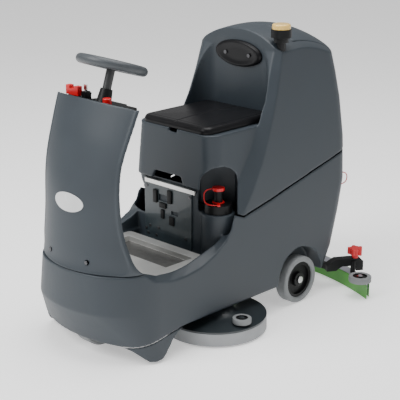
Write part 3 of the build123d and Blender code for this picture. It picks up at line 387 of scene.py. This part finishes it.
def add_backrest():
    """The padded oval back, with a rolled rim and a shallow dish, on the CAD pad's own plane."""
    node = "backrest_pad"
    pad = NODES[node].data
    outward = max(pad.polygons, key=lambda face: face.area * (face.normal.y < -0.5)).normal.copy()
    turn = Matrix((Vector((1, 0, 0)), outward.cross(Vector((1, 0, 0))), outward)).transposed()
    flat = [turn.inverted() @ vert.co / MM for vert in pad.vertices]
    low = [min(p[k] for p in flat) for k in range(3)]
    high = [max(p[k] for p in flat) for k in range(3)]
    half_u, half_v = (high[0] - low[0]) / 2, (high[1] - low[1]) / 2
    mid_u, mid_v = (high[0] + low[0]) / 2, (high[1] + low[1]) / 2
    rim, dip, steps = 0.16, 0.3, 96

    def ring(t, w):
        """Points of the oval at share t of its size and height w."""
        turns = [2 * math.pi * k / steps for k in range(steps)]
        return [work.verts.new(turn.to_4x4() @ Vector((mid_u + half_u * t * math.cos(a),
                                                       mid_v + half_v * t * math.sin(a), w)) * MM)
                for a in turns]

    def lift(t):
        """Height of the pad's face at share t of its size."""
        rolled = math.sqrt(max(0, 1 - (1 - min(1, (1 - t) / rim)) ** 2))
        dish = dip * max(0, min(1, (0.8 - t) / 0.25))
        return low[2] + 3 + (high[2] - low[2] - 3) * (rolled - dish)

    work = bmesh.new()
    shares = [1, 0.995, 0.985, 0.97, 0.95, 0.92, 0.88, 0.84, 0.8, 0.75, 0.7, 0.65, 0.6, 0.55, 0.4, 0.2]
    rings = [ring(1, low[2] + 0.3)] + [ring(t, lift(t)) for t in shares]
    for one, two in zip(rings, rings[1:]):
        for k in range(steps):
            n = (k + 1) % steps
            work.faces.new((one[k], one[n], two[n], two[k]))
    work.faces.new(rings[-1])
    work.faces.new(rings[0])
    back = finish_mesh("back_cushion", work, VINYL, BODY_OF[node], 60)
    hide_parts(node)


add_seat()
add_backrest()

# ---------------------------------------------------------------- all other parts
STRAPS = {"filler_strap", "rear_strap"}
CUSHIONS = {"seat_pad", "backrest_pad"}
SHELLS = {"lower_body", "recovery_tank", "front_cowl", "leg_shield", "side_valances", "tank_lid"}
ROLLERS = ["deck_roller_left", "deck_roller_right", "squeegee_roller_left",
           "squeegee_roller_right"]
PART_EDGE = 0.0015      # rounding of the parts' edges, in metres


def add_roller(node):
    """A roller as a soft tyre, a dished hub and a bright washer, in the CAD roller's place."""
    points = [vert.co / MM for vert in NODES[node].data.vertices]
    least = [min(p[k] for p in points) for k in range(3)]
    most = [max(p[k] for p in points) for k in range(3)]
    centre = [(least[0] + most[0]) / 2, (least[1] + most[1]) / 2, least[2]]
    radius, tall = (most[0] - least[0]) / 2, most[2] - least[2]
    bore = min(math.hypot(p.x - centre[0], p.y - centre[1]) for p in points)
    rim = 0.64 * radius
    up = (0, 0, 1)
    tyre = lathe(node + "_tyre", [(rim, 0.5), (radius - 3, 0), (radius - 1, 1), (radius, 3),
                                  (radius, tall - 3), (radius - 1, tall - 1), (radius - 3, tall),
                                  (rim, tall - 0.5)],
                 centre, up, TYRE, BODY_OF[node])
    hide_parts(node)
    lathe(node + "_hub", [(bore, 1), (rim, 1), (rim, tall - 1.5), (rim - 2, tall - 1.5),
                          (rim - 4, tall - 6), (bore + 5, tall - 6), (bore + 4, tall - 2),
                          (bore, tall - 2)],
          centre, up, BLACK, BODY_OF[node])
    lathe(node + "_washer", [(bore, tall - 2), (bore + 4.5, tall - 2), (bore + 4.5, tall - 0.5),
                             (bore, tall - 0.5)],
          centre, up, SILVER, BODY_OF[node])


def add_footwell():
    """A dark sheet of painted shade in the tray's recess, and relays and connectors on the electrics
    cover.
    """
    block("tray_recess_shade", (-200, -383, 314.6), (200, -230, 315.6), TRAY_RECESS_SHADE, "chassis",
          0.0003)
    cover_y = -118
    units = ((-150, -126, 488, 548, 9), (-60, -34, 500, 560, 8), (-112, -70, 470, 494, 7),
             (-50, -20, 400, 440, 6), (-104, -84, 420, 462, 6))
    for k, (x0, x1, z0, z1, proud) in enumerate(units):
        block("panel_unit_%d" % k, (x0, cover_y - proud, z0), (x1, cover_y, z1), BLACK, "chassis",
              0.0015)


for node in sorted(set(NODES) - STRAPS - CUSHIONS - SHELLS - set(ROLLERS)):
    eased(node, PART_EDGE)
for node in ROLLERS:
    add_roller(node)
add_footwell()


# ---------------------------------------------------------------- stage
def add_stage():
    """A pale floor, a soft lamp in front and one above, a weak one beside, and a white surround."""
    work = bmesh.new()
    bmesh.ops.create_grid(work, x_segments=1, y_segments=1, size=14)
    data = bpy.data.meshes.new("floor")
    work.to_mesh(data)
    work.free()
    floor = bpy.data.objects.new("floor", data)
    floor.location.z = -0.001
    bpy.context.collection.objects.link(floor)
    pale = material("floor_paint", (0.92, 0.92, 0.92), 0.8)
    shader = pale.node_tree.nodes["Principled BSDF"]
    shader.inputs["Emission Color"].default_value = (1, 1, 1, 1)
    shader.inputs["Emission Strength"].default_value = 0.55
    data.materials.append(pale)
    world = bpy.data.worlds.new("surround")
    bpy.context.scene.world = world
    world.use_nodes = True
    world.node_tree.nodes["Background"].inputs["Color"].default_value = (1, 1, 1, 1)
    world.node_tree.nodes["Background"].inputs["Strength"].default_value = 0.4
    for name, at, size, power in (("key", (-1.5, -4.5, 4.5), 3.0, 300), ("top", (0.3, 0.3, 5), 4.0, 260),
                                  ("side", (5, 1, 2.5), 3.0, 10)):
        data = bpy.data.lights.new(name, "AREA")
        data.size = size
        data.energy = power
        lamp = bpy.data.objects.new(name, data)
        lamp.location = at
        lamp.rotation_mode = "QUATERNION"
        lamp.rotation_quaternion = (Vector((0, 0, 0.6)) - Vector(at)).to_track_quat("-Z", "Y")
        bpy.context.collection.objects.link(lamp)


add_stage()
